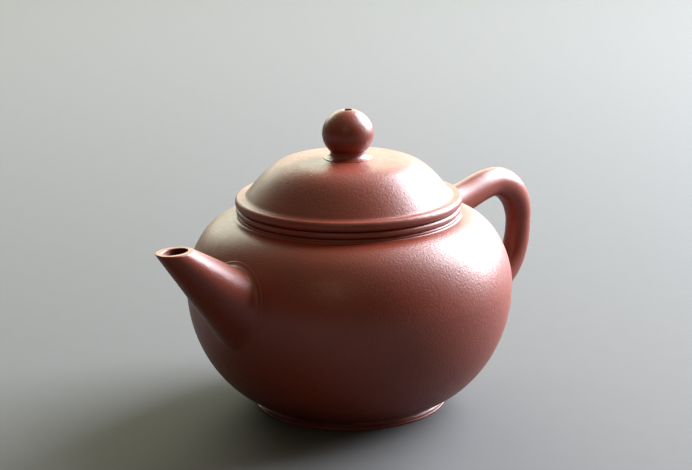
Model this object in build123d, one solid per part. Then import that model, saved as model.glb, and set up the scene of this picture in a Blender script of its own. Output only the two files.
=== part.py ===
from build123d import *
import os
from math import cos, radians, sin

# A round yixing clay teapot: a slab-built pot with a spout and an ear handle, and a lid
# that lifts off. Origin: on the pot's axis, in the plane of the foot. +X runs to the
# spout, -X to the handle, +Z up. Millimetres.

# ---- Driving dimensions ---------------------------------------------------------------
# Pot
belly_r = 41.0        # greatest radius of the pot
belly_z = 30.8        # height of the greatest radius
wall = 2.6            # wall of the pot
foot_r = 23.6         # outer radius of the foot ring where it meets the belly
foot_w = 3.2          # width of the foot ring there
foot_h = 1.6          # height of the foot ring
foot_out_r = 24.5     # radius of its flared standing edge
foot_lip = 0.65       # height of that edge
foot_flare = 0.5      # how far the hollow above the edge keeps level, and then upright
foot_round = 0.35     # rounding of its standing edges
base_slope = 24.0     # degrees, slope of the belly where it leaves the foot
base_reach = 11.5     # how far the belly keeps near that slope
low_reach = 13.1      # how far the belly stays upright below its greatest radius
high_reach = 6.4      # the same above it
neck_r = 28.2         # where the shoulder meets the neck ring
neck_z = 48.3         # height of the shoulder there
neck_reach = 8.6      # how far the shoulder stays level
mouth_r = 24.3        # inner radius of the mouth
neck_ring_h = 1.0     # thin ring under the mouth ring
neck_ring_r = 27.8
mouth_ring_h = 1.8    # half-round lip ring
mouth_ring_r = 28.1
base_seam_r = 20.4    # join of the base disc and the belly wall
shoulder_seam_r = 33.0  # join of the belly wall and the shoulder disc

# Spout: a straight cone, cut level at its tip
tip_x = 57.8          # where the axis meets the level of the tip
tip_z = 50.45
spout_angle = 41.5    # degrees the axis rises from level
tip_r = 3.35          # radius of the cone at the tip
root_r = 9.5          # and at its root, inside the belly
spout_len = 30.8      # from the tip centre back to the root
spout_blend = 1.8     # radius of the fillet round its root
bore_tip_r = 2.2      # passage at the tip
bore_root_r = 5.6     # and where it goes through the belly wall
rim_round = 0.35      # rounding of the tip's rim
beyond = 4.0          # how far a cone is drawn past both ends, before it is cut

# Strainer: a pierced half ball inside the belly, over the spout's hole
strainer_r = 8.0
strainer_back = 26.3  # its centre, back from the spout's tip
strainer_wall = 1.4
strainer_hole_r = 0.8
strainer_rows = ((0, 1), (30, 6), (58, 12))  # degrees off the axis, holes in the row

# Handle: an ear of round section, thickest at its upper bend
ear_start = (-28.5, 42.0)  # upper end of the centre line, inside the shoulder
ear_top = (-36.4, 43.9)    # where it comes out of the shoulder
ear_crest = (-54.4, 46.95) # its highest point
ear_out = (-65.9, 34.6)    # its furthest point
ear_low = (-38.4, 15.0)    # where it meets the lower belly
ear_end = (-31.5, 14.7)    # lower end, inside the belly
ear_start_run = 2.6        # how far the line keeps its course at each point: at the start
ear_start_rise = 1.1       # and how much it climbs there
ear_top_run = 6.8          # past the shoulder
ear_crest_in = 5.6         # before the crest
ear_crest_out = 6.0        # after it
ear_out_up = 7.0           # above the furthest point
ear_out_down = 17.5        # below it
ear_low_run = 13.5         # before the lower belly
ear_low_drop = 0.6         # and how much it falls there
root_thick = 4.2           # radius of the section at the shoulder
crest_thick = 3.6          # at the crest
elbow_thick = 4.0          # at the upper bend
out_thick = 3.55           # at the furthest point
fall_thick = 3.7           # half-way down
low_thick = 3.15           # at the lower belly
handle_blend = 1.6         # radius of the fillet round both roots

# Lid
lid_gap = 0.1         # between the mouth ring and the lid resting on it
flange_r = 28.3       # greatest radius of the lid
flange_low_r = 27.6   # its lower edge
flange_top_r = 27.7   # its crisp upper edge
flange_h = 2.25
flange_in_r = 21.4    # hole through the flange, under the dome
dome_r = 25.0         # where the dome's slope ends
dome_low = 1.1        # height of that place above the flange
dome_rise = 9.4       # top of the dome above the flange's edge
dome_wall = 2.6
dome_flat = 18.5      # how far the dome keeps near level
dome_slope = 49.3     # degrees at its edge
dome_reach = 10.7      # how far it keeps near that slope
dome_foot = 1.3       # width of the hollow curve between the dome and the flange
dome_foot_run = 0.9   # how far that curve keeps the dome's slope
dome_in_rise = 4.2    # how far the inside climbs steeply from the flange
dome_in_lean = 1.5    # and how far it leans in over that climb
collar_r = 23.95      # outer radius of the collar inside the mouth
collar_w = 2.4
collar_h = 5.5
collar_round = 0.5    # rounding of its lower edges
collar_gap = 0.05     # running gap between the collar and the flange

# Knob
knob_r = 6.4          # half-width of the ball
knob_half_h = 6.05    # its half-height
knob_z = 69.05        # centre of the ball
knob_seat_z = 64.7    # join of the ball and its neck
neck_foot_r = 6.1     # flared foot of the knob's neck
neck_foot_h = 0.35
vent_r = 1.05         # vent hole through the knob and the dome

# ---- Heights that follow --------------------------------------------------------------
floor_z = foot_h + wall
mouth_z = neck_z + neck_ring_h + mouth_ring_h
lid_z = mouth_z + lid_gap
flange_z = lid_z + flange_h
dome_z = flange_z + dome_rise


# ---- Helpers --------------------------------------------------------------------------
def ring(profile):
    """Turn a closed profile, drawn as (radius, height), about the pot's axis.
    The turned face starts at +Y, clear of the spout and the handle."""
    return Rot(0, 0, 90) * revolve(Plane.XZ * make_face(profile), Axis.Z)


def rod(radius, low, high):
    """An upright cylinder on the pot's axis, between two heights."""
    return Pos(0, 0, (low + high) / 2) * Cylinder(radius, high - low)


def polar(start, reach, angle):
    """The point at this reach from start, at an angle above level."""
    return (start[0] + reach * cos(radians(angle)), start[1] + reach * sin(radians(angle)))


def belly_curve(inset):
    """The belly's outline, foot to neck, moved inwards by inset."""
    foot = (foot_r - 0.8 * inset, foot_h + inset)
    belly = belly_r - inset
    neck = (neck_r, neck_z - inset)
    lower = Bezier(foot, polar(foot, base_reach, base_slope), (belly, belly_z - low_reach),
                   (belly, belly_z))
    upper = Bezier((belly, belly_z), (belly, belly_z + high_reach),
                   (neck_r + neck_reach, neck_z - inset), neck)
    return lower + upper


def spout_plane(back):
    """The plane across the spout's axis, this far back from the tip; its Y runs level."""
    x, z = polar((tip_x, tip_z), -back, spout_angle)
    axis = (cos(radians(spout_angle)), 0, sin(radians(spout_angle)))
    return Plane(origin=(x, 0, z), x_dir=(sin(radians(spout_angle)), 0, -cos(radians(spout_angle))),
                 z_dir=axis)


def spout_cone(at_tip, at_root):
    """A cone along the spout's axis, run a little beyond both its tip and its root."""
    grow = (at_root - at_tip) * beyond / spout_len
    middle = spout_plane(spout_len / 2)
    return middle.location * Cone(at_root + grow, at_tip - grow, spout_len + 2 * beyond)


# ---- Pot ------------------------------------------------------------------------------
def pot_block():
    """The pot's outer form, solid."""
    outline = belly_curve(0)
    return ring(outline + Polyline((neck_r, neck_z), (0, neck_z), (0, foot_h), (foot_r, foot_h)))


def pot_hollow():
    """The hollow of the pot, up through the mouth."""
    top = neck_z + 1
    edge = Polyline((neck_r, neck_z - wall), (mouth_r, neck_z - wall), (mouth_r, top), (0, top),
                    (0, floor_z), (foot_r - 0.8 * wall, floor_z))
    return ring(belly_curve(wall) + edge)


def spout_bore():
    """The passage through the spout and the belly wall."""
    return spout_cone(bore_tip_r, bore_root_r)


def pot_shell():
    """Belly, base and shoulder in one, to be parted at the potter's joins."""
    return pot_block() - pot_hollow() - spout_bore()


def base_disc(shell):
    return shell & rod(base_seam_r, 0, belly_z)


def shoulder_disc(shell):
    return shell & rod(shoulder_seam_r, belly_z, neck_z + 1)


def belly_half(shell, side):
    """The belly wall on the spout's side, +1, or the handle's side, -1."""
    strip = shell - rod(base_seam_r, 0, belly_z) - rod(shoulder_seam_r, belly_z, neck_z + 1)
    return strip & Pos(side * belly_r, 0, belly_z) * Box(2 * belly_r, 4 * belly_r, 4 * belly_r)


def foot_ring():
    """The ring the pot stands on. Its outside is hollow, above a low flared edge."""
    inner = foot_r - foot_w
    dip = foot_round * (1 - cos(radians(45)))
    inner_edge = ThreePointArc((inner, foot_round), (inner + dip, dip), (inner + foot_round, 0))
    sole = Line((inner + foot_round, 0), (foot_out_r - foot_round, 0))
    outer_edge = ThreePointArc((foot_out_r - foot_round, 0), (foot_out_r - dip, dip), (foot_out_r, foot_round))
    lip_side = Line((foot_out_r, foot_round), (foot_out_r, foot_lip))
    flare = Bezier((foot_out_r, foot_lip), (foot_out_r - foot_flare, foot_lip), (foot_r, foot_lip + foot_flare),
                   (foot_r, foot_h))
    back = Polyline((foot_r, foot_h), (inner, foot_h), (inner, foot_round))
    return ring(inner_edge + sole + outer_edge + lip_side + flare + back)


def lip(low, height, outer):
    """A ring round the mouth with a half-round outer edge."""
    middle = outer - height / 2
    edge = ThreePointArc((middle, low), (outer, low + height / 2), (middle, low + height))
    back = Polyline((middle, low + height), (mouth_r, low + height), (mouth_r, low), (middle, low))
    return ring(edge + back)


def neck_ring():
    return lip(neck_z, neck_ring_h, neck_ring_r)


def mouth_ring():
    return lip(neck_z + neck_ring_h, mouth_ring_h, mouth_ring_r)


# ---- Spout, strainer and handle -------------------------------------------------------
def blended(limb, block, radius):
    """The limb with a fillet where it meets the block, less the block itself."""
    joined = block + limb
    meeting = [e for e in joined.edges() if not_on_axis(e, block) and not_on_axis(e, limb)]
    return fillet(meeting, radius) - block


def not_on_axis(edge, solid):
    """True where an edge of the joined form isn't an edge of this solid alone."""
    middle = edge.position_at(0.5)
    return min(other.distance_to(middle) for other in solid.edges()) > 0.01


def spout(block):
    cone = spout_cone(tip_r, root_r)
    above = Pos(tip_x, 0, tip_z + belly_r) * Box(2 * belly_r, 2 * belly_r, 2 * belly_r)
    outer = blended(cone - above, block, spout_blend)
    body = outer - spout_bore()
    rim = body.edges().filter_by_position(Axis.Z, tip_z - 0.01, tip_z + 0.01)
    return fillet(rim, rim_round)


def strainer():
    centre = spout_plane(strainer_back)
    ball = centre.location * (Sphere(strainer_r) - Sphere(strainer_r - strainer_wall))
    cup = ball & pot_hollow()
    for tilt, count in strainer_rows:
        for k in range(count):
            spin = 360 / count * k
            hole = Pos(0, 0, -strainer_r) * Cylinder(strainer_hole_r, strainer_r)
            cup -= centre.location * Rot(0, 0, spin) * Rot(0, tilt, 0) * hole
    return cup


def ear_path():
    """The handle's centre line in pieces, each with its start, middle and end thickness."""
    lead = Bezier(ear_start, moved(ear_start, -ear_start_run, ear_start_rise),
                  moved(ear_top, ear_start_run, 0), ear_top)
    rise = Bezier(ear_top, moved(ear_top, -ear_top_run, 0), moved(ear_crest, ear_crest_in, 0), ear_crest)
    bend = Bezier(ear_crest, moved(ear_crest, -ear_crest_out, 0), moved(ear_out, 0, ear_out_up), ear_out)
    fall = Bezier(ear_out, moved(ear_out, 0, -ear_out_down), moved(ear_low, -ear_low_run, ear_low_drop),
                  ear_low)
    tail = Line(ear_low, ear_end)
    return ((lead, (root_thick, root_thick, root_thick)),
            (rise, (root_thick, (root_thick + crest_thick) / 2, crest_thick)),
            (bend, (crest_thick, elbow_thick, out_thick)),
            (fall, (out_thick, fall_thick, low_thick)),
            (tail, (low_thick, low_thick, low_thick)))


def moved(point, right, up):
    return (point[0] + right, point[1] + up)


def swell(radii, t):
    """The smooth run of radius through its start, middle and end values."""
    start, middle, end = radii
    return start * (1 - t) * (1 - 2 * t) + 4 * middle * t * (1 - t) + end * t * (2 * t - 1)


def handle(block):
    sections = []
    for curve, radii in ear_path():
        line = Plane.XZ * curve
        for t in (0, 0.25, 0.5, 0.75):
            along = line.tangent_at(t)
            across = along.cross(Vector(0, -1, 0))
            plane = Plane(origin=line.position_at(t), x_dir=across, z_dir=along)
            sections.append(plane * Circle(swell(radii, t)))
    return blended(loft(sections), block, handle_blend)


# ---- Lid ------------------------------------------------------------------------------
def lid_plate():
    low, top = lid_z, flange_z
    bulge = flange_r + (flange_r - flange_low_r) / 4
    side = Bezier((flange_low_r, low), (bulge, low), (bulge, top - flange_h / 4), (flange_top_r, top))
    back = Polyline((flange_top_r, top), (flange_in_r, top), (flange_in_r, low), (flange_low_r, low))
    return ring(side + back)


def lid_dome():
    edge = (dome_r, flange_z + dome_low)
    rim = dome_r + dome_foot
    crown = Bezier((0, dome_z), (dome_flat, dome_z), polar(edge, dome_reach, 180 - dome_slope), edge)
    foot = Bezier(edge, polar(edge, dome_foot_run, -dome_slope), moved((rim, flange_z), -dome_foot / 2, 0.1),
                  (rim, flange_z))
    under_edge = (flange_in_r, flange_z)
    under = Bezier(under_edge, moved(under_edge, -dome_in_lean, dome_in_rise),
                   (dome_flat - dome_wall, dome_z - dome_wall), (0, dome_z - dome_wall))
    rest = Line((rim, flange_z), under_edge)
    close = Line((0, dome_z - dome_wall), (0, dome_z))
    return ring(crown + foot + rest + under + close) - rod(vent_r, flange_z, dome_z + 1)


def lid_collar():
    top = lid_z - collar_gap
    low = top - collar_h
    inner = collar_r - collar_w
    body = rod(collar_r, low, top) - rod(inner, low, top)
    return fillet(body.edges().group_by(Axis.Z)[0], collar_round)


def knob_ball():
    """The slightly flattened ball, whole."""
    return Pos(0, 0, knob_z) * scale(Sphere(1), (knob_r, knob_r, knob_half_h))


def knob():
    top = knob_z + 2 * knob_half_h
    return knob_ball() - rod(knob_r, dome_z - knob_half_h, knob_seat_z) - rod(vent_r, dome_z, top)


def knob_neck():
    top_r = knob_r * (1 - ((knob_seat_z - knob_z) / knob_half_h) ** 2) ** 0.5
    foot_top = dome_z + neck_foot_h
    waist = (top_r, knob_seat_z - (knob_seat_z - foot_top) / 2)
    flare = Bezier((neck_foot_r, foot_top), (top_r, foot_top), waist, (top_r, knob_seat_z))
    back = Polyline((top_r, knob_seat_z), (vent_r, knob_seat_z), (vent_r, dome_z), (neck_foot_r, dome_z),
                    (neck_foot_r, foot_top))
    return ring(flare + back)


# ---- Write the pieces -----------------------------------------------------------------
block = pot_block()
shell = pot_shell()
pieces = {
    "base_disc": base_disc(shell),
    "belly_front": belly_half(shell, 1),
    "belly_back": belly_half(shell, -1),
    "shoulder_disc": shoulder_disc(shell),
    "foot_ring": foot_ring(),
    "neck_ring": neck_ring(),
    "mouth_ring": mouth_ring(),
    "spout": spout(block),
    "strainer": strainer(),
    "handle": handle(block),
    "lid_plate": lid_plate(),
    "lid_dome": lid_dome(),
    "lid_collar": lid_collar(),
    "knob_neck": knob_neck(),
    "knob": knob(),
}
os.makedirs("parts", exist_ok=True)
for name, shape in pieces.items():
    export_step(shape, f"parts/{name}.step")
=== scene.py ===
"""Looks of a small round yixing clay teapot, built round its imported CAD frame.

Lengths in the named values are millimetres; everything in Blender is in metres.
The frame: origin on the pot's axis in the plane of the foot, +X to the spout, +Z up.
"""

from math import cos, pi, radians, sin

import bpy
import numpy as np
from mathutils import Matrix, Vector


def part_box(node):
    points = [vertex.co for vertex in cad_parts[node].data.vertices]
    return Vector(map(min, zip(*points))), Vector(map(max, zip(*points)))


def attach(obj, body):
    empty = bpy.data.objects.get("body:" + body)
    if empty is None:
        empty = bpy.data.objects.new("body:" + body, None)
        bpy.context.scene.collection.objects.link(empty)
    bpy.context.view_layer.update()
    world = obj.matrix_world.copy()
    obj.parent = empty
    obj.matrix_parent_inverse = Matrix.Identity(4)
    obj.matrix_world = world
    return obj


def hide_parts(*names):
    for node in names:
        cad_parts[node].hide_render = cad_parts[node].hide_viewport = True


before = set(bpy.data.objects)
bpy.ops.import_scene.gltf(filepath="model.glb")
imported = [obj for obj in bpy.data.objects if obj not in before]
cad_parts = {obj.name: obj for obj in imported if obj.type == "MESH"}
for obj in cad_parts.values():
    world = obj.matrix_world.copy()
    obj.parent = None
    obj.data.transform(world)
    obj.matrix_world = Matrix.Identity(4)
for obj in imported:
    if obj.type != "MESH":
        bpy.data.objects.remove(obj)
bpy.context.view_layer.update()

MM = 0.001

# ---- Sizes read from the frame (mm) ---------------------------------------------------


def low(node):
    return np.array(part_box(node)[0]) / MM


def high(node):
    return np.array(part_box(node)[1]) / MM


FOOT_OUT_R = high("foot_ring")[1]
FOOT_H = high("foot_ring")[2]
NECK_Z = low("neck_ring")[2]
LIP_Z = low("mouth_ring")[2]
MOUTH_Z = high("mouth_ring")[2]
SHOULDER_SEAM_R = high("shoulder_disc")[1]
BASE_SEAM_R = high("base_disc")[1]
COLLAR_R = high("lid_collar")[1]
LID_Z = low("lid_plate")[2]
FLANGE_Z = high("lid_plate")[2]
DOME_Z = high("lid_dome")[2]
DOME_RIM_R = high("lid_dome")[1]
SEAT_Z = low("knob")[2]
KNOB_R = high("knob")[1]
NECK_FOOT_R = high("knob_neck")[1]
SPOUT_TIP_Z = high("spout")[2]
SPOUT_END_X = high("spout")[0]
EAR_END_X = low("handle")[0]
EAR_TOP_Z = high("handle")[2]

# ---- Shapes that the boxes can't say (mm, degrees) ------------------------------------
WALL = 2.6             # thickness of the pot and of the lid's dome
BELLY_R = 41.0         # the widest place of the belly, and its height
BELLY_Z = 30.8
NECK_R = 28.2
MOUTH_R = 24.3
FOOT_R = 23.6          # the foot where it meets the belly, above its flared edge
FOOT_W = 3.2
NECK_RING_R = 27.8
LIP_R = 28.1
VENT_R = 1.05
SPOUT_ANGLE = 42.0     # the spout's lean, from level
EAR_OUT_Z = 34.6       # height of the handle's outermost place

AROUND = 240           # points round a turned piece
KNOB_AROUND = 128
SPOUT_AROUND = 120
EAR_AROUND = 72

# The maker's waves: depth, how many go round the pot, mm of height in a radian, start
WAVES = ((0.04, 2, 31, 0.6), (0.025, 3, -17, -1.1), (0.015, 5, 7.5, 0.0))


# ---- Curves ---------------------------------------------------------------------------
def bezier(a, b, c, d, count):
    """Points of a cubic Bezier curve."""
    t = np.linspace(0, 1, count)[:, None]
    a, b, c, d = (np.array(p, float) for p in (a, b, c, d))
    return (1 - t) ** 3 * a + 3 * (1 - t) ** 2 * t * b + 3 * (1 - t) * t ** 2 * c + t ** 3 * d


def polar(start, reach, angle):
    return (start[0] + reach * cos(radians(angle)), start[1] + reach * sin(radians(angle)))


def straight(a, b, count):
    t = np.linspace(0, 1, count)[:, None]
    return np.array(a, float) * (1 - t) + np.array(b, float) * t


def arc(centre, radius, start, end, count):
    """Points of an arc between two angles, in degrees."""
    t = np.radians(np.linspace(start, end, count))
    return np.stack([centre[0] + radius * np.cos(t), centre[1] + radius * np.sin(t)], 1)


def join(*runs):
    """One outline from runs of points, without the points that repeat."""
    points = np.vstack(runs)
    step = np.linalg.norm(np.diff(points, axis=0), axis=1)
    return points[np.concatenate([[True], step > 1e-4])]


def rounded(a, corner, b, size, count=5):
    """A run from near a, round a corner by size, to near b."""
    a, corner, b = (np.array(p, float) for p in (a, corner, b))
    start = corner + (a - corner) / np.linalg.norm(a - corner) * size
    end = corner + (b - corner) / np.linalg.norm(b - corner) * size
    return bezier(start, start + (corner - start) * 0.6, end + (corner - end) * 0.6, end, count)


# ---- Mesh building --------------------------------------------------------------------
def grid_faces(rows, cols, wrap_rows):
    """Quads of a grid whose columns close on themselves, and its rows too if wrap_rows."""
    last = rows if wrap_rows else rows - 1
    r, c = np.meshgrid(np.arange(last), np.arange(cols), indexing="ij")
    r2, c2 = (r + 1) % rows, (c + 1) % cols
    quads = np.stack([r * cols + c, r * cols + c2, r2 * cols + c2, r2 * cols + c], -1)
    return quads.reshape(-1, 4)


def uneven(points):
    """A maker's slight unevenness, in mm. It is one field for the whole pot, so joins stay closed."""
    x, y, z = points.T
    turn = np.arctan2(y, x)
    reach = np.clip(np.hypot(x, y) / BELLY_R, 0, 1)
    shift = np.zeros(len(points))
    for depth, times, climb, start in WAVES:
        shift += depth * (np.sin(times * turn + start + z / climb) - 1)
    moved = points.copy()
    moved[:, 0] += reach * shift * np.cos(turn)
    moved[:, 1] += reach * shift * np.sin(turn)
    return moved


def relief_of(mesh):
    """Curvature at every vertex, as a vertex value: 1 on a sharp ridge, -1 in a deep groove."""
    full = 1.2       # curvature of a full ridge or groove, per mm
    keep = 0.4       # share of its own value that a vertex keeps in each smoothing
    count = len(mesh.vertices)
    place = np.empty(count * 3)
    mesh.vertices.foreach_get("co", place)
    place = place.reshape(-1, 3)
    normal = np.empty(count * 3)
    mesh.vertex_normals.foreach_get("vector", normal)
    normal = normal.reshape(-1, 3)
    ends = np.empty(len(mesh.edges) * 2, int)
    mesh.edges.foreach_get("vertices", ends)
    ends = ends.reshape(-1, 2)
    bend = np.zeros(count)
    weight = np.zeros(count)
    for near, far in ((0, 1), (1, 0)):
        a, b = ends[:, near], ends[:, far]
        gap = place[a] - place[b]
        np.add.at(bend, a, (normal[a] * gap).sum(1))
        np.add.at(weight, a, (gap * gap).sum(1))
    curve = 2 * bend / np.maximum(weight, 1e-12) * MM
    for _ in range(3):
        total = np.zeros(count)
        number = np.zeros(count)
        for near, far in ((0, 1), (1, 0)):
            np.add.at(total, ends[:, near], curve[ends[:, far]])
            np.add.at(number, ends[:, near], 1)
        curve = keep * curve + (1 - keep) * total / np.maximum(number, 1)
    layer = mesh.attributes.new("relief", "FLOAT", "POINT")
    layer.data.foreach_set("value", np.clip(curve / full, -1, 1).astype(np.float32))


def build(name, points, faces, materials, body, nodes, slot, pick=None, sharp=34):
    """A piece from points in mm. pick gives each face's material number."""
    faces = np.asarray(faces)
    first = points[faces[:, 0]]
    volume = 0
    for k in range(1, faces.shape[1] - 1):
        volume += (first * np.cross(points[faces[:, k]], points[faces[:, k + 1]])).sum()
    if volume < 0:
        faces = faces[:, ::-1]
    mesh = bpy.data.meshes.new(name)
    mesh.from_pydata((uneven(points) * MM).tolist(), [], [list(dict.fromkeys(f)) for f in faces.tolist()])
    for material in materials:
        mesh.materials.append(material)
    if pick is not None:
        mesh.polygons.foreach_set("material_index", np.asarray(pick, np.int32))
    mesh.polygons.foreach_set("use_smooth", np.ones(len(mesh.polygons), bool))
    mesh.set_sharp_from_angle(angle=radians(sharp))
    mesh.update()
    relief_of(mesh)
    piece = bpy.data.objects.new(name, mesh)
    bpy.context.scene.collection.objects.link(piece)
    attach(piece, body)
    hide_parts(*nodes)
    return piece


def turned(name, outline, materials, body, nodes, slot, inner=None, around=AROUND):
    """Turn a closed outline of (radius, height) about the axis. inner(r, z) is true on raw faces."""
    spin = np.arange(around) * 2 * pi / around
    ring = np.stack([np.cos(spin), np.sin(spin)], 1)
    rows = len(outline)
    points = np.zeros((rows, around, 3))
    points[:, :, :2] = outline[:, None, :1] * ring[None]
    points[:, :, 2] = outline[:, None, 1]
    faces = grid_faces(rows, around, True)
    pick = None
    if inner is not None:
        middle = (outline + np.roll(outline, -1, 0)) / 2
        pick = np.repeat([1 if inner(r, z) else 0 for r, z in middle], around)
    return build(name, points.reshape(-1, 3), faces, materials, body, nodes, slot, pick)


# ---- Materials ------------------------------------------------------------------------
def node(tree, kind, **values):
    made = tree.nodes.new(kind)
    for key, value in values.items():
        setattr(made, key, value)
    return made


def noise(tree, place, scale, detail=2.0, rough=0.5, distortion=0.0):
    made = node(tree, "ShaderNodeTexNoise")
    made.inputs["Scale"].default_value = scale
    made.inputs["Detail"].default_value = detail
    made.inputs["Roughness"].default_value = rough
    made.inputs["Distortion"].default_value = distortion
    tree.links.new(place, made.inputs["Vector"])
    return made.outputs["Fac"]


def spread(tree, value, low_in, high_in, low_out=0.0, high_out=1.0):
    """A value mapped from one range to another and held inside it."""
    made = node(tree, "ShaderNodeMapRange")
    ends = {"From Min": low_in, "From Max": high_in, "To Min": low_out, "To Max": high_out}
    for key, number in ends.items():
        made.inputs[key].default_value = number
    tree.links.new(value, made.inputs["Value"])
    return made.outputs["Result"]


def maths(tree, kind, a, b):
    made = node(tree, "ShaderNodeMath", operation=kind)
    for socket, value in zip(made.inputs, (a, b)):
        if isinstance(value, (int, float)):
            socket.default_value = value
        else:
            tree.links.new(value, socket)
    return made.outputs[0]


def blend_colour(tree, share, a, b):
    """Mix two colours; either may be a socket."""
    made = node(tree, "ShaderNodeMix", data_type="RGBA")
    for key, value in (("A", a), ("B", b)):
        socket = next(s for s in made.inputs if s.name == key and s.type == "RGBA")
        if isinstance(value, tuple):
            socket.default_value = (*value, 1)
        else:
            tree.links.new(value, socket)
    tree.links.new(share, made.inputs["Factor"])
    return next(s for s in made.outputs if s.type == "RGBA")


# Noise scales of the clay, in waves per metre
CLOUDS, MOTTLE, SPECKS, DARK_SPECKS = 45, 420, 3600, 2600
PEEL, FINE, PITS, TOOL_LINES = 1900, 4200, 1300, 700
ROUGH_RAW = 0.62         # roughness of raw clay, and how much a full burnish takes off it
ROUGH_BURNISH = 0.27
GRAIN_HEIGHT = 0.000060  # height of the orange peel, in metres
CLAY_IOR = 1.6


def clay(name, base, deep, pale, gloss, grain=1.0, tooled=0.0):
    """Unglazed zisha clay.

    base, deep and pale are its main colour, its darker patches and its sand specks. A dimmed
    deep is also painted into grooves as shade. gloss is the burnish, from 0 raw to 1 handled
    for years. grain scales its orange peel, and tooled adds the level marks that a scraping
    tool leaves on the inside.
    """
    material = bpy.data.materials.new(name)
    material.use_nodes = True
    tree = material.node_tree
    tree.nodes.clear()
    shader = node(tree, "ShaderNodeBsdfPrincipled")
    output = node(tree, "ShaderNodeOutputMaterial")
    tree.links.new(shader.outputs[0], output.inputs["Surface"])
    place = node(tree, "ShaderNodeTexCoord").outputs["Object"]

    clouds = spread(tree, noise(tree, place, CLOUDS, 3, 0.55), 0.35, 0.65)
    mottle = spread(tree, noise(tree, place, MOTTLE, 3, 0.6), 0.3, 0.7)
    specks = spread(tree, noise(tree, place, SPECKS, 1, 0.5), 0.66, 0.74)
    dark_specks = spread(tree, noise(tree, place, DARK_SPECKS, 1, 0.5), 0.68, 0.76)
    relief = node(tree, "ShaderNodeAttribute", attribute_name="relief").outputs["Fac"]
    ridge = spread(tree, relief, 0.25, 1.0)
    groove = spread(tree, relief, -0.15, -0.9)

    # Painted shade: grooves are darkened towards a dimmed deep tone, standing in for the shade that falls in
    # them.
    groove_painted_shade = tuple(0.45 * part for part in deep)
    colour = base
    # The groove entry below paints shade into the grooves; the others are the clay's own tones, specks and
    # lighter ridges.
    for where, strength, tint in ((clouds, 0.5, deep), (mottle, 0.25, deep), (specks, 0.35, pale),
                                  (dark_specks, 0.5, deep), (ridge, 0.25, pale), (groove, 0.6, groove_painted_shade)):
        colour = blend_colour(tree, maths(tree, "MULTIPLY", where, strength), colour, tint)
    tree.links.new(colour, shader.inputs["Base Color"])

    rough = ROUGH_RAW - ROUGH_BURNISH * gloss
    rough_value = spread(tree, clouds, 0, 1, rough - 0.03, rough + 0.04)
    rough_value = maths(tree, "ADD", rough_value, spread(tree, mottle, 0, 1, -0.03, 0.03))
    rough_value = maths(tree, "SUBTRACT", rough_value, maths(tree, "MULTIPLY", ridge, 0.06))
    rough_value = maths(tree, "ADD", rough_value, maths(tree, "MULTIPLY", groove, 0.12))
    tree.links.new(rough_value, shader.inputs["Roughness"])
    shader.inputs["IOR"].default_value = CLAY_IOR
    shader.inputs["Specular IOR Level"].default_value = 0.5

    peel = noise(tree, place, PEEL, 2, 0.5, 0.3)
    fine = noise(tree, place, FINE, 2, 0.6)
    pits = spread(tree, noise(tree, place, PITS, 0, 0.5), 0.74, 0.84)
    height = maths(tree, "MULTIPLY", peel, 0.9)
    height = maths(tree, "ADD", height, maths(tree, "MULTIPLY", fine, 0.35))
    height = maths(tree, "SUBTRACT", height, maths(tree, "MULTIPLY", pits, 0.3))
    if tooled:
        squash = node(tree, "ShaderNodeMapping")
        squash.inputs["Scale"].default_value = (0.12, 0.12, 1)
        tree.links.new(place, squash.inputs["Vector"])
        marks = noise(tree, squash.outputs[0], TOOL_LINES, 3, 0.65)
        height = maths(tree, "ADD", height, maths(tree, "MULTIPLY", marks, 3.0 * tooled))
    bump = node(tree, "ShaderNodeBump")
    bump.inputs["Strength"].default_value = 1.0
    bump.inputs["Distance"].default_value = GRAIN_HEIGHT * grain
    tree.links.new(height, bump.inputs["Height"])
    tree.links.new(bump.outputs[0], shader.inputs["Normal"])
    return material


RED = (0.218, 0.034, 0.014)
DEEP = (0.150, 0.020, 0.009)
RAW = (0.15, 0.042, 0.024)
RAW_DEEP = (0.10, 0.025, 0.014)
SAND = (0.36, 0.12, 0.06)
burnished = clay("burnished_clay", RED, DEEP, SAND, 0.78)
handled = clay("handled_clay", RED, DEEP, SAND, 0.95, 0.85)
raw = clay("raw_clay", RAW, RAW_DEEP, SAND, 0.0, 1.6, 1.0)
outer_and_inner = [burnished, raw]


# ---- Outline of the belly -------------------------------------------------------------
FOOT_SLOPE = 24        # how steeply the belly leaves the foot, degrees
FOOT_PULL = 11.5       # lengths of the handles of its curves: at the foot,
LOWER_PULL = 13.1      # below the widest place,
UPPER_PULL = 6.4       # above it,
NECK_PULL = 8.6        # and at the neck


def belly_curve(inset, count):
    """The belly's outline, foot to neck, moved inwards by inset."""
    foot = (FOOT_R - 0.8 * inset, FOOT_H + inset)
    belly = BELLY_R - inset
    neck = (NECK_R, NECK_Z - inset)
    lower = bezier(foot, polar(foot, FOOT_PULL, FOOT_SLOPE), (belly, BELLY_Z - LOWER_PULL),
                   (belly, BELLY_Z), count)
    upper = bezier((belly, BELLY_Z), (belly, BELLY_Z + UPPER_PULL), (NECK_R + NECK_PULL, NECK_Z - inset),
                   neck, count)
    return join(lower, upper)


OUTSIDE = belly_curve(0, 120)


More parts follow.
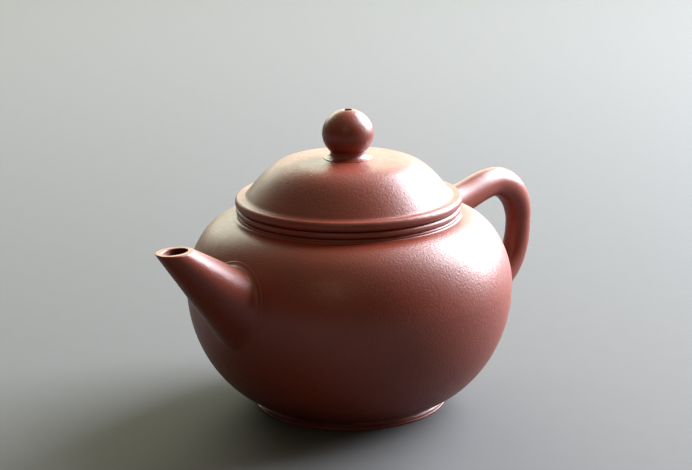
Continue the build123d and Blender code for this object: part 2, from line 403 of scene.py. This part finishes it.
def on_belly(points):
    """The nearest place on the belly's outside, its normal, and the height above it, all in mm."""
    flat = np.stack([np.hypot(points[:, 0], points[:, 1]), points[:, 2]], 1)
    a, b = OUTSIDE[:-1], OUTSIDE[1:]
    run = b - a
    share = ((flat[:, None] - a) * run).sum(-1) / (run * run).sum(-1)
    foot = a + np.clip(share, 0, 1)[..., None] * run
    gap = np.linalg.norm(flat[:, None] - foot, axis=-1)
    best = gap.argmin(1)
    rows = np.arange(len(flat))
    near = foot[rows, best]
    side = run[best] / np.linalg.norm(run[best], axis=1)[:, None]
    normal_flat = np.stack([side[:, 1], -side[:, 0]], 1)
    above = ((flat - near) * normal_flat).sum(1)
    turn = np.stack([points[:, 0], points[:, 1]], 1) / np.maximum(flat[:, :1], 1e-9)
    place = np.concatenate([turn * near[:, :1], near[:, 1:]], 1)
    normal = np.concatenate([turn * normal_flat[:, :1], normal_flat[:, 1:]], 1)
    return place, normal, above


# ---- Turned pieces of the pot ---------------------------------------------------------
belly_upper = 36      # above this height the radius grows towards the belly, not the base
floor_z = FOOT_H + WALL


def cut_at(outline, radius, keep_inside):
    """The part of an outline inside or outside a radius, ended exactly on it."""
    kept = []
    for a, b in zip(outline[:-1], outline[1:]):
        in_a = (a[0] < radius) == keep_inside
        in_b = (b[0] < radius) == keep_inside
        if in_a:
            kept.append(a)
        if in_a != in_b:
            share = (radius - a[0]) / (b[0] - a[0])
            kept.append(a + (b - a) * share)
    if (outline[-1][0] < radius) == keep_inside:
        kept.append(outline[-1])
    return np.array(kept)


RIDGES = ((1.0, 1.9, 0), (0.6, 0.83, 1), (0.8, 4.7, 2))   # height, length in mm and start of each wave


def tool_marks(points, size):
    """Low uneven ridges that scraping leaves along an inner outline."""
    run = np.concatenate([[0], np.cumsum(np.linalg.norm(np.diff(points, axis=0), axis=1))])
    wave = sum(share * np.sin(run / length + start) for share, length, start in RIDGES)
    fade = np.sin(pi * run / run[-1]) ** 0.5
    side = np.gradient(points, axis=0)
    side /= np.linalg.norm(side, axis=1)[:, None]
    return points + np.stack([-side[:, 1], side[:, 0]], 1) * (wave * fade * size)[:, None]


def at_seam(curve):
    """A belly outline parted at the shoulder's seam: the wall's run and the shoulder's."""
    lower = curve[curve[:, 1] < belly_upper]
    upper = curve[curve[:, 1] >= belly_upper]
    return join(lower, cut_at(upper, SHOULDER_SEAM_R, False)), cut_at(upper, SHOULDER_SEAM_R, True)


foot_step = 0.3       # the belly starts this far inside the foot ring's edge
outer = belly_curve(0, 100)
outer[0, 0] -= foot_step
wall_out, shoulder_out = at_seam(outer)
wall_in, shoulder_in = at_seam(tool_marks(belly_curve(WALL, 70), 0.05))

belly_outline = join(straight((BASE_SEAM_R, FOOT_H), wall_out[0], 4), wall_out,
                     straight(wall_out[-1], wall_in[-1], 4), wall_in[::-1],
                     straight(wall_in[0], (BASE_SEAM_R, floor_z), 3),
                     straight((BASE_SEAM_R, floor_z), (BASE_SEAM_R, FOOT_H), 3)[:-1])


def is_inside_pot(r, z):
    return on_belly(np.array([[r, 0, z]]))[2][0] < -0.6 * WALL


belly = turned("belly", belly_outline, outer_and_inner, "pot", ["belly_front", "belly_back"],
               "burnished_clay", is_inside_pot)

base_rise = 0.35      # the underside is very slightly hollow
base_steps = 24
base_ring = np.linspace(0.4, BASE_SEAM_R, base_steps)
under = np.stack([base_ring, FOOT_H + base_rise * (1 - (base_ring / BASE_SEAM_R) ** 2)], 1)
above = tool_marks(np.stack([base_ring, np.full(base_steps, floor_z)], 1), 0.06)
base_outline = join(under, above[::-1])


def turned_disc(name, lower, upper, *rest, around=AROUND):
    """A disc between two outlines that start near the axis, closed there by fans."""
    spin = np.arange(around) * 2 * pi / around
    outline = join(lower, upper[::-1])
    rows = len(outline)
    points = np.zeros((rows, around, 3))
    points[:, :, 0] = outline[:, None, 0] * np.cos(spin)
    points[:, :, 1] = outline[:, None, 0] * np.sin(spin)
    points[:, :, 2] = outline[:, None, 1]
    flat = points.reshape(-1, 3)
    poles = np.array([[0, 0, lower[0][1]], [0, 0, upper[0][1]]])
    faces = grid_faces(rows, around, False).tolist()
    last = (rows - 1) * around
    for k in range(around):
        k2 = (k + 1) % around
        faces.append([len(flat), k2, k, k])
        faces.append([len(flat) + 1, last + k, last + k2, last + k2])
    return build(name, np.vstack([flat, poles]), np.array(faces), *rest)


base_heights = (base_outline[1:, 1] + base_outline[:-1, 1]) / 2
base_pick = [1 if z > FOOT_H + WALL / 2 else 0 for z in np.repeat(base_heights, AROUND)]
turned_disc("base", under, above, outer_and_inner, "pot", ["base_disc"], "burnished_clay",
            base_pick + [0, 1] * AROUND)

ring_edge_r = NECK_RING_R + 0.15
ring_fillet_r = 0.9   # the shoulder runs up to the thin ring in a small hollow
ring_fillet_h = 0.3
ring_back_r = NECK_RING_R - ring_fillet_r
neck_in_z = NECK_Z - WALL
mouth_soft = 0.5      # rounding of the shoulder's edge under the mouth
ring_fillet = bezier((ring_edge_r + ring_fillet_r, NECK_Z), (ring_edge_r + 0.3, NECK_Z),
                     (ring_edge_r, NECK_Z + 0.08), (ring_edge_r - 0.1, NECK_Z + ring_fillet_h), 8)
shoulder_top = cut_at(shoulder_out, ring_edge_r + ring_fillet_r, False)
shoulder_outline = join(shoulder_top, ring_fillet, [(ring_back_r, NECK_Z + ring_fillet_h)],
                        straight((ring_back_r, NECK_Z), (MOUTH_R, NECK_Z), 4),
                        rounded((MOUTH_R, NECK_Z), (MOUTH_R, neck_in_z), (NECK_R, neck_in_z), mouth_soft),
                        straight((MOUTH_R + mouth_soft, neck_in_z), shoulder_in[-1], 4), shoulder_in[::-1],
                        straight(shoulder_in[0], shoulder_out[0], 4)[:-1])
turned("shoulder", shoulder_outline, outer_and_inner, "pot", ["shoulder_disc"], "burnished_clay",
       is_inside_pot)


def lip_outline(bottom, top, reach):
    """A ring round the mouth: half-round outside, its upper inner edge softened."""
    soft = 0.35
    half = (top - bottom) / 2
    middle = (reach - half, bottom + half)
    round_edge = arc(middle, half, -90, 90, 17)
    return join(round_edge, straight((reach - half, top), (MOUTH_R + soft, top), 6),
                rounded((NECK_R, top), (MOUTH_R, top), (MOUTH_R, bottom), soft),
                straight((MOUTH_R, top - soft), (MOUTH_R, bottom), 4),
                straight((MOUTH_R, bottom), (reach - half, bottom), 6)[:-1])


turned("thin_ring", lip_outline(NECK_Z, LIP_Z, NECK_RING_R), [burnished], "pot", ["neck_ring"],
       "burnished_clay")
turned("lip", lip_outline(LIP_Z, MOUTH_Z, LIP_R), [burnished], "pot", ["mouth_ring"], "burnished_clay")

foot_in_r = FOOT_R - FOOT_W
foot_in_soft = 0.5    # rounding of its inner edge
foot_lip = 0.6        # height of its standing edge
foot_top = FOOT_H + 0.12   # tucked a little into the belly
foot_side_r = FOOT_R + 0.02
foot_outline = join(rounded((foot_in_r, FOOT_H), (foot_in_r, 0), (FOOT_R, 0), foot_in_soft, 7),
                    straight((foot_in_r + foot_in_soft, 0), (FOOT_OUT_R - 0.4, 0), 6),
                    rounded((foot_in_r, 0), (FOOT_OUT_R, 0), (FOOT_OUT_R, FOOT_H), 0.35, 7),
                    rounded((FOOT_OUT_R, 0), (FOOT_OUT_R, foot_lip), (FOOT_R, foot_lip + 0.25), 0.2, 6),
                    bezier((FOOT_OUT_R - 0.19, foot_lip + 0.05), (FOOT_R + 0.35, foot_lip + 0.2),
                           (foot_side_r, foot_lip + 0.45), (foot_side_r, foot_top), 14),
                    straight((FOOT_R - 0.4, foot_top), (foot_in_r, FOOT_H), 6),
                    straight((foot_in_r, FOOT_H), (foot_in_r, foot_in_soft), 4)[:-1])
turned("foot", foot_outline, [burnished], "pot", ["foot_ring"], "burnished_clay")


# ---- Roots of the spout and the handle ------------------------------------------------
def crossings(lines):
    """Where each line of points, running inwards, enters the pot: its fractional index."""
    count, length, _ = lines.shape
    above = on_belly(lines.reshape(-1, 3))[2].reshape(count, length)
    first = (above < 0).argmax(1)
    rows = np.arange(count)
    before, after = above[rows, first - 1], above[rows, first]
    return first - 1 + before / (before - after)


def along(lines, where):
    """Points of the lines at fractional indices."""
    rows = np.arange(len(lines))
    whole = np.clip(np.floor(where).astype(int), 0, lines.shape[1] - 2)
    share = (where - whole)[:, None]
    return lines[rows, whole] * (1 - share) + lines[rows, whole + 1] * share


# The fine raised edge round a root: distance past the fillet in mm, and share of the ridge's height
ROOT_EDGE = ((0.10, 1.05), (0.2, 0.95), (0.3, 0.66), (0.38, 0.3), (0.46, -0.2))
ROOT_HOLLOW = 0.62     # how far the fillet is pulled into its corner
TUCK = 0.03            # depth of the hidden rows under the belly's surface


def root_rows(lines, reach, ridge=0.09, steps=12):
    """The rows that carry a limb into the belly.

    lines run inwards. Returns the index where each is left, the crossing points, and the rows
    of the hollow fillet, its fine raised edge, and the edge tucked just under the surface.
    """
    where = crossings(lines)
    entry = along(lines, where)
    pace = np.linalg.norm(along(lines, where) - along(lines, where - 1), axis=1)
    leave = where - reach / pace
    start = along(lines, leave)
    place, normal, _ = on_belly(entry)
    out = entry - entry.mean(0)
    out -= (out * normal).sum(1)[:, None] * normal
    out /= np.linalg.norm(out, axis=1)[:, None]
    end, end_normal, _ = on_belly(entry + out * reach)
    slope = end - place
    slope /= np.linalg.norm(slope, axis=1)[:, None]
    top = end + end_normal * ridge
    t = np.linspace(0, 1, steps)[1:, None, None]
    c1 = start + (entry - start) * ROOT_HOLLOW
    c2 = top + (place + normal * ridge - top) * ROOT_HOLLOW
    rows = list((1 - t) ** 3 * start + 3 * (1 - t) ** 2 * t * c1 + 3 * (1 - t) * t ** 2 * c2 + t ** 3 * top)
    for far, high_share in ROOT_EDGE:
        rows.append(end + slope * far + end_normal * ridge * high_share)
    return leave, entry, rows


def under_rows(edge, goal, count):
    """Rows from a root's tucked edge inwards to a smaller ring, just under the belly's surface."""
    rows = []
    for share in np.linspace(0, 1, count + 1)[1:]:
        place, normal, _ = on_belly(edge * (1 - share) + goal * share)
        rows.append(place - normal * TUCK)
    return rows


# ---- Spout ----------------------------------------------------------------------------
SPOUT_TIP = (4.84, 3.93)         # half-widths of the level oval at the tip: along X, across
SPOUT_ROOT = (9.36, 10.14)       # and of the oval across the axis at the root: up and down, across
SPOUT_ROOT_PLACE = (34.0, 29.8)
SPOUT_REACH = 1.25               # size of the fillet round its root
BORE_TIP = (3.4, 2.3)
BORE_ROOT = (5.6, 5.6)
BORE_BACK = 0.1                  # how far the hole sits behind the middle of the tip
TIP_X = SPOUT_END_X - SPOUT_TIP[0]
LINE_POINTS = 160                # points on each line of the cone
RIM_END = 2.6                    # where the rim's rounding ends, counted in those points
RIM_SOFT = 0.28                  # share of the rim's width that each rounding takes
LINE_END = 1.1                   # the lines run on past the root by a tenth
BORE_ROWS = 34
spout_spin = np.arange(SPOUT_AROUND) * 2 * pi / SPOUT_AROUND


def cone_ends(spin, tip, root, back=0.0):
    """Both ends of the lines of a cone: on the level oval at its tip, and on the oval at its root."""
    lean = radians(SPOUT_ANGLE)
    level = np.stack([TIP_X - back + tip[0] * np.cos(spin), tip[1] * np.sin(spin),
                      np.full(len(spin), SPOUT_TIP_Z)], 1)
    across = np.stack([SPOUT_ROOT_PLACE[0] + root[0] * np.cos(spin) * sin(lean), root[1] * np.sin(spin),
                       SPOUT_ROOT_PLACE[1] - root[0] * np.cos(spin) * cos(lean)], 1)
    return level, across


def cone_lines(tip, root, back=0.0):
    level, across = cone_ends(spout_spin, tip, root, back)
    share = np.linspace(0, LINE_END, LINE_POINTS)[None, :, None]
    return level[:, None] + (across - level)[:, None] * share


def edge_round(start, corner, end):
    """Rows that turn from one ring of points to another, round a third."""
    return [(1 - t) ** 2 * start + 2 * (1 - t) * t * corner + t ** 2 * end for t in np.linspace(0, 1, 7)]


def make_spout():
    outside = cone_lines(SPOUT_TIP, SPOUT_ROOT)
    bore = cone_lines(BORE_TIP, BORE_ROOT, BORE_BACK)
    leave, _, root = root_rows(outside, SPOUT_REACH)
    bore_end = crossings(bore)
    rim = outside[:, 0]
    mouth = bore[:, 0]
    flat_in = mouth + (rim - mouth) * RIM_SOFT
    flat_out = rim + (mouth - rim) * RIM_SOFT
    rim_end = np.full(SPOUT_AROUND, RIM_END)
    rows = edge_round(along(bore, rim_end), mouth, flat_in)
    rows.append((flat_in + flat_out) / 2)
    rows += edge_round(flat_out, rim, along(outside, rim_end))
    for share in np.linspace(0, 1, 54)[1:]:
        rows.append(along(outside, RIM_END + (leave - RIM_END) * share))
    rows += root
    rows += under_rows(root[-1], along(bore, bore_end), 5)
    for share in np.linspace(0, 1, BORE_ROWS + 2)[1:-1]:
        rows.append(along(bore, bore_end + (RIM_END - bore_end) * share))
    points = np.array(rows)
    faces = grid_faces(len(rows), SPOUT_AROUND, True)
    inside = np.arange(len(rows)) >= len(rows) - BORE_ROWS
    pick = np.repeat(np.where(inside, 1, 0), SPOUT_AROUND)
    return build("spout_cone", points.reshape(-1, 3), faces, outer_and_inner, "pot", ["spout"],
                 "burnished_clay", pick, sharp=50)


make_spout()


def drill_belly():
    """Cut the spout's passage through the belly's wall."""
    count = 64
    level, across = cone_ends(np.arange(count) * 2 * pi / count, BORE_TIP, BORE_ROOT, BORE_BACK)
    ends = [level + (across - level) * share for share in (LINE_END / 2, LINE_END)]
    points = uneven(np.vstack(ends)) * MM
    mesh = bpy.data.meshes.new("drill")
    sides = grid_faces(2, count, False).tolist()
    caps = [list(range(count)), list(range(2 * count - 1, count - 1, -1))]
    mesh.from_pydata(points.tolist(), [], sides + caps)
    mesh.materials.append(raw)
    cutter = bpy.data.objects.new("drill", mesh)
    bpy.context.scene.collection.objects.link(cutter)
    cut = belly.modifiers.new("passage", "BOOLEAN")
    cut.operation = "DIFFERENCE"
    cut.solver = "EXACT"
    cut.object = cutter
    graph = bpy.context.evaluated_depsgraph_get()
    drilled = bpy.data.meshes.new_from_object(belly.evaluated_get(graph), depsgraph=graph)
    belly.modifiers.remove(cut)
    belly.data = drilled
    bpy.data.objects.remove(cutter)


drill_belly()


# ---- Handle ---------------------------------------------------------------------------
ROOT_THICK = 4.2        # half its thickness: at the upper root,
CREST_THICK = 3.85      # at its highest place,
ELBOW_THICK = 4.0       # on the way round,
OUT_THICK = 3.4         # at its outermost place,
FALL_THICK = 3.5        # on the way down,
LOW_THICK = 3.15        # and at the lower root
EAR_CLEAR = 0.03        # keeps the swelling outer side inside the CAD handle's reach
EAR_IN_TOP = (-28.5, 42.0)    # places on its centre line, from inside the shoulder to inside the belly
EAR_TOP = (-36.4, 43.9)
EAR_CREST = (-54.4, EAR_TOP_Z - CREST_THICK)
EAR_OUT = (EAR_END_X + OUT_THICK + EAR_CLEAR, EAR_OUT_Z)
EAR_LOW = (-38.4, 15.0)
EAR_IN_LOW = (-31.5, 14.7)
TOP_REACH = 1.7         # sizes of the fillets at its roots, and their raised edge
LOW_REACH = 1.5
EAR_RIDGE = 0.04


def swell(values, t):
    """Values along a run that has the three given at its start, middle and end."""
    start, middle, end = values
    return start * (1 - t) * (1 - 2 * t) + 4 * middle * t * (1 - t) + end * t * (2 * t - 1)


def ear_line():
    """The handle's centre line and half thickness."""
    crest_x, crest_z = EAR_CREST
    out_x, out_z = EAR_OUT
    low_x, low_z = EAR_LOW
    runs = [
        (bezier(EAR_IN_TOP, (-31.1, 43.1), (-33.8, 43.9), EAR_TOP, 30), (ROOT_THICK,) * 3),
        (bezier(EAR_TOP, (EAR_TOP[0] - 6.8, EAR_TOP[1]), (crest_x + 5.6, crest_z), EAR_CREST, 60),
         (ROOT_THICK, (ROOT_THICK + CREST_THICK) / 2, CREST_THICK)),
        (bezier(EAR_CREST, (crest_x - 6, crest_z), (out_x, out_z + 7), EAR_OUT, 60),
         (CREST_THICK, ELBOW_THICK, OUT_THICK)),
        (bezier(EAR_OUT, (out_x, out_z - 17.5), (low_x - 13.5, low_z + 0.6), EAR_LOW, 90),
         (OUT_THICK, FALL_THICK, LOW_THICK)),
        (straight(EAR_LOW, EAR_IN_LOW, 20), (LOW_THICK,) * 3)]
    centre, thick = [], []
    for points, values in runs:
        t = np.linspace(0, 1, len(points))
        skip = 1 if centre else 0
        centre.extend(points[skip:])
        thick.extend(swell(values, t)[skip:])
    return np.array(centre), np.array(thick)


def ear_lines():
    """Lines along the handle's surface, one for each step round it."""
    centre, thick = ear_line()
    for _ in range(6):
        thick[1:-1] = (thick[:-2] + 2 * thick[1:-1] + thick[2:]) / 4
    side = np.gradient(centre, axis=0)
    side /= np.linalg.norm(side, axis=1)[:, None]
    out = np.stack([side[:, 1], np.zeros(len(side)), -side[:, 0]], 1)
    middle = np.stack([centre[:, 0], np.zeros(len(centre)), centre[:, 1]], 1)
    spin = np.arange(EAR_AROUND) * 2 * pi / EAR_AROUND
    return (middle[None] + thick[None, :, None] * (np.cos(spin)[:, None, None] * out[None]
            + np.sin(spin)[:, None, None] * np.array([0, 1.0, 0])))


def closing_rows(edge, entry):
    """Rows from a root's tucked edge almost to the middle of the root."""
    small = 0.02
    centre = np.repeat(entry.mean(0)[None], EAR_AROUND, 0)
    return under_rows(edge, centre * (1 - small) + edge * small, 4)


def make_handle():
    lines = ear_lines()
    half = lines.shape[1] // 2
    top_leave, top_entry, top_rows = root_rows(lines[:, :half + 1][:, ::-1], TOP_REACH, EAR_RIDGE)
    low_leave, low_entry, low_rows = root_rows(lines[:, half:], LOW_REACH, EAR_RIDGE)
    first = half - top_leave
    last = half + low_leave
    rows = closing_rows(top_rows[-1], top_entry)[::-1]
    rows += top_rows[::-1]
    rows += [along(lines, first + (last - first) * share) for share in np.linspace(0, 1, 190)]
    rows += low_rows
    rows += closing_rows(low_rows[-1], low_entry)
    points = np.array(rows).reshape(-1, 3)
    faces = grid_faces(len(rows), EAR_AROUND, False).tolist()
    ends = []
    for start, flip in ((0, True), ((len(rows) - 1) * EAR_AROUND, False)):
        pole = len(points) + len(ends)
        ends.append(points[start:start + EAR_AROUND].mean(0))
        for k in range(EAR_AROUND):
            a, b = start + k, start + (k + 1) % EAR_AROUND
            faces.append([pole, b, a, a] if flip else [pole, a, b, b])
    return build("ear_handle", np.vstack([points, ends]), np.array(faces), [handled], "pot", ["handle"],
                 "burnished_clay", sharp=50)


make_handle()

# ---- Lid ------------------------------------------------------------------------------
flange_top_r = 27.7    # outer edge of the flange's upper face
flange_low_r = flange_top_r - 0.1
flange_in_r = 21.4
edge_soft = 0.06
plate_side = bezier((flange_low_r, LID_Z), (flange_top_r + 0.75, LID_Z + 0.05),
                    (flange_top_r + 0.85, FLANGE_Z - 0.55), (flange_top_r + 0.08, FLANGE_Z - 0.05), 18)
plate_outline = join(plate_side,
                     rounded(plate_side[-1], (flange_top_r, FLANGE_Z), (flange_in_r, FLANGE_Z), edge_soft, 4),
                     straight((flange_top_r - edge_soft, FLANGE_Z), (flange_in_r, FLANGE_Z), 14),
                     straight((flange_in_r, FLANGE_Z), (flange_in_r, LID_Z), 5),
                     straight((flange_in_r, LID_Z), (flange_low_r, LID_Z), 10)[:-1])
turned("lid_flange", plate_outline, outer_and_inner, "lid", ["lid_plate"], "burnished_clay",
       lambda r, z: r < MOUTH_R + 0.5 and z < FLANGE_Z - 0.1)

edge = (25.0, FLANGE_Z + 1.1)   # where the crown turns into its small hollow foot
edge_slope = -51.8
crown_pull = 11.5
vent_soft = 0.3
dome_in_z = DOME_Z - WALL
vent_top = rounded((VENT_R, dome_in_z), (VENT_R, DOME_Z), (3, DOME_Z), vent_soft)
crown = bezier((VENT_R + vent_soft, DOME_Z), (16.0, DOME_Z), polar(edge, crown_pull, 180 + edge_slope),
               edge, 110)
dome_foot = bezier(edge, polar(edge, 0.9, edge_slope), (DOME_RIM_R - 0.6, FLANGE_Z + 0.12),
                   (DOME_RIM_R, FLANGE_Z + 0.01), 14)
dome_hollow = bezier((flange_in_r, FLANGE_Z), (flange_in_r - 1.5, FLANGE_Z + 4.2), (15.5, dome_in_z),
                     (VENT_R, dome_in_z), 60)
dome_outline = join(vent_top, crown, dome_foot,
                    straight((DOME_RIM_R, FLANGE_Z - 0.02), (flange_in_r, FLANGE_Z), 6),
                    tool_marks(dome_hollow, 0.05),
                    straight((VENT_R, dome_in_z), (VENT_R, DOME_Z - vent_soft), 5)[:-1])
turned("lid_crown", dome_outline, outer_and_inner, "lid", ["lid_dome"], "burnished_clay",
       lambda r, z: r < flange_in_r + 0.2 and z < np.interp(r, crown[:, 0], crown[:, 1]) - WALL / 2)

collar_top = high("lid_collar")[2]
collar_low = low("lid_collar")[2]
collar_in_r = COLLAR_R - 2.4
collar_low_r = COLLAR_R - 0.25  # it narrows a little downwards
collar_soft = 0.6
collar_in_soft = 0.5
collar_outline = join(straight((COLLAR_R, collar_top), (collar_low_r, collar_low + collar_soft), 8),
                      rounded((COLLAR_R, collar_top), (collar_low_r, collar_low), (collar_in_r, collar_low),
                              collar_soft, 7),
                      rounded((COLLAR_R, collar_low), (collar_in_r, collar_low), (collar_in_r, collar_top),
                              collar_in_soft, 6),
                      straight((collar_in_r, collar_low + collar_in_soft), (collar_in_r, collar_top), 8),
                      straight((collar_in_r, collar_top), (COLLAR_R, collar_top), 5)[:-1])
turned("lid_seat_ring", collar_outline, outer_and_inner, "lid_seat", ["lid_collar"], "burnished_clay",
       lambda r, z: r < collar_in_r + 0.6)

# ---- Knob -----------------------------------------------------------------------------
KNOB_Z = 69.05         # the ball's middle, and half its height
KNOB_HALF_H = 6.05
hole_soft = 0.32       # rounding of the vent's edge
seat_angle = np.degrees(np.arcsin((SEAT_Z - KNOB_Z) / KNOB_HALF_H))
hole_angle = np.degrees(np.arccos((VENT_R + hole_soft) / KNOB_R))
sweep = np.radians(np.linspace(seat_angle, hole_angle, 70))
ball = np.stack([KNOB_R * np.cos(sweep), KNOB_Z + KNOB_HALF_H * np.sin(sweep)], 1)
hole_corner = (VENT_R, ball[-1][1] + 0.02)
ball_outline = join(ball, rounded(ball[-1], hole_corner, (VENT_R, SEAT_Z), hole_soft, 6),
                    straight((VENT_R, hole_corner[1] - hole_soft), (VENT_R, SEAT_Z), 16),
                    straight((VENT_R, SEAT_Z), ball[0], 5)[:-1])
turned("knob_ball", ball_outline, [handled], "lid", ["knob"], "burnished_clay", around=KNOB_AROUND)

seat_r = ball[0][0]
stem_low = DOME_Z - 0.03     # tucked a little into the dome
stem_foot_z = DOME_Z + 0.15  # height of its feathered foot
stem_soft = 0.09
stem_side = join(straight((NECK_FOOT_R, stem_low), (NECK_FOOT_R, DOME_Z + 0.04), 2),
                 rounded((NECK_FOOT_R, DOME_Z), (NECK_FOOT_R, stem_foot_z), (seat_r, stem_foot_z + 0.1),
                         stem_soft, 4),
                 bezier((NECK_FOOT_R - stem_soft, stem_foot_z + 0.01), (seat_r + 0.35, stem_foot_z + 0.08),
                        (seat_r - 0.15, SEAT_Z - 0.9), (seat_r, SEAT_Z), 26))
stem_outline = join(stem_side, straight((seat_r, SEAT_Z), (VENT_R, SEAT_Z), 6),
                    straight((VENT_R, SEAT_Z), (VENT_R, DOME_Z), 4),
                    straight((VENT_R, stem_low), (NECK_FOOT_R, stem_low), 8)[:-1])
turned("knob_stem", stem_outline, [handled], "lid", ["knob_neck"], "burnished_clay", around=KNOB_AROUND)

# ---- Strainer: the CAD node itself, in raw clay ---------------------------------------
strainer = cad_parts["strainer"]
strainer.data.materials.clear()
strainer.data.materials.append(raw)


# ---- Camera, lights and floor ---------------------------------------------------------
CAMERA_SIDE = 45.0        # degrees from the spout round to the camera
CAMERA_RISE = 16.32       # degrees above level
CAMERA_DISTANCE = 0.4715
CAMERA_AIM = Vector((0, 0, 0.035))
CAMERA_TURN = (-0.089, 0.931, -0.638)   # yaw, pitch and roll off the aim, degrees
SENSOR = 36.0
FOCAL_WIDTHS = 2.7065     # focal length in picture widths


def place_round(side, rise, distance, aim=CAMERA_AIM):
    """A place round the pot: side is degrees to the camera's right, rise is degrees up."""
    turn, lift = radians(CAMERA_SIDE + side), radians(rise)
    return aim + distance * Vector((cos(turn) * cos(lift), sin(turn) * cos(lift), sin(lift)))


def look(place, aim):
    return (aim - place).to_track_quat("-Z", "Y").to_matrix().to_4x4()


camera_data = bpy.data.cameras.new("camera")
camera = bpy.data.objects.new("camera", camera_data)
bpy.context.scene.collection.objects.link(camera)
yaw, pitch, roll = (radians(v) for v in CAMERA_TURN)
camera_place = place_round(0, CAMERA_RISE, CAMERA_DISTANCE)
camera.matrix_world = (Matrix.Translation(camera_place) @ look(camera_place, CAMERA_AIM)
                       @ Matrix.Rotation(-yaw, 4, "Y") @ Matrix.Rotation(pitch, 4, "X")
                       @ Matrix.Rotation(roll, 4, "Z"))
camera_data.sensor_width = SENSOR
camera_data.lens = SENSOR * FOCAL_WIDTHS
camera_data.clip_start = 0.01
bpy.context.scene.camera = camera


def soft_light(name, side, rise, distance, width, height, power, colour):
    """A soft panel that faces the pot. Its distance and size are in metres, its power in watts."""
    data = bpy.data.lights.new(name, "AREA")
    data.shape = "RECTANGLE"
    data.size, data.size_y = width, height
    data.energy = power
    data.color = colour
    lamp = bpy.data.objects.new(name, data)
    place = place_round(side, rise, distance)
    lamp.matrix_world = Matrix.Translation(place) @ look(place, CAMERA_AIM)
    bpy.context.scene.collection.objects.link(lamp)
    return lamp


soft_light("window", 126, 28, 1.1, 0.95, 0.85, 80, (0.88, 0.91, 1.0))
soft_light("backdrop", 189, 21, 1.4, 1.5, 0.65, 15.5, (0.93, 1.0, 0.80))
soft_light("lamp", -12, 34, 1.0, 0.10, 0.08, 0.45, (1.0, 0.72, 0.40))


NEAR_SKY = (0.010, 0.006, 0.004)     # the studio on the camera's side, and behind the pot
FAR_SKY = (0.50, 0.42, 0.29)
FLOOR_DARK = (0.040, 0.041, 0.040)
FLOOR_LIGHT = (0.048, 0.049, 0.048)
FLOOR_SHEEN = 0.11                   # a bloom that makes the dark paper look pale from the side


def make_world():
    """A studio that is pale behind and above the pot and dim on the camera's side."""
    world = bpy.data.worlds.new("studio")
    world.use_nodes = True
    tree = world.node_tree
    back = place_round(165, 48, 1.0, Vector((0, 0, 0)))
    place = node(tree, "ShaderNodeTexCoord").outputs["Generated"]
    facing = node(tree, "ShaderNodeVectorMath", operation="DOT_PRODUCT")
    tree.links.new(place, facing.inputs[0])
    facing.inputs[1].default_value = back
    share = spread(tree, facing.outputs["Value"], -0.25, 0.75)
    shade = blend_colour(tree, share, NEAR_SKY, FAR_SKY)
    background = tree.nodes["Background"]
    tree.links.new(shade, background.inputs["Color"])
    bpy.context.scene.world = world


make_world()
bpy.context.scene.view_settings.view_transform = "Standard"


def make_floor():
    """A plain pale floor."""
    half = 4.0
    mesh = bpy.data.meshes.new("floor")
    corners = [(-half, -half, 0), (half, -half, 0), (half, half, 0), (-half, half, 0)]
    mesh.from_pydata(corners, [], [(0, 1, 2, 3)])
    floor = bpy.data.objects.new("floor", mesh)
    bpy.context.scene.collection.objects.link(floor)
    material = bpy.data.materials.new("floor_paper")
    material.use_nodes = True
    tree = material.node_tree
    shader = tree.nodes["Principled BSDF"]
    place = node(tree, "ShaderNodeTexCoord").outputs["Object"]
    shade = blend_colour(tree, noise(tree, place, 160, 3), FLOOR_DARK, FLOOR_LIGHT)
    tree.links.new(shade, shader.inputs["Base Color"])
    shader.inputs["Roughness"].default_value = 0.8
    shader.inputs["Sheen Weight"].default_value = FLOOR_SHEEN
    shader.inputs["Sheen Roughness"].default_value = 0.5
    mesh.materials.append(material)


make_floor()
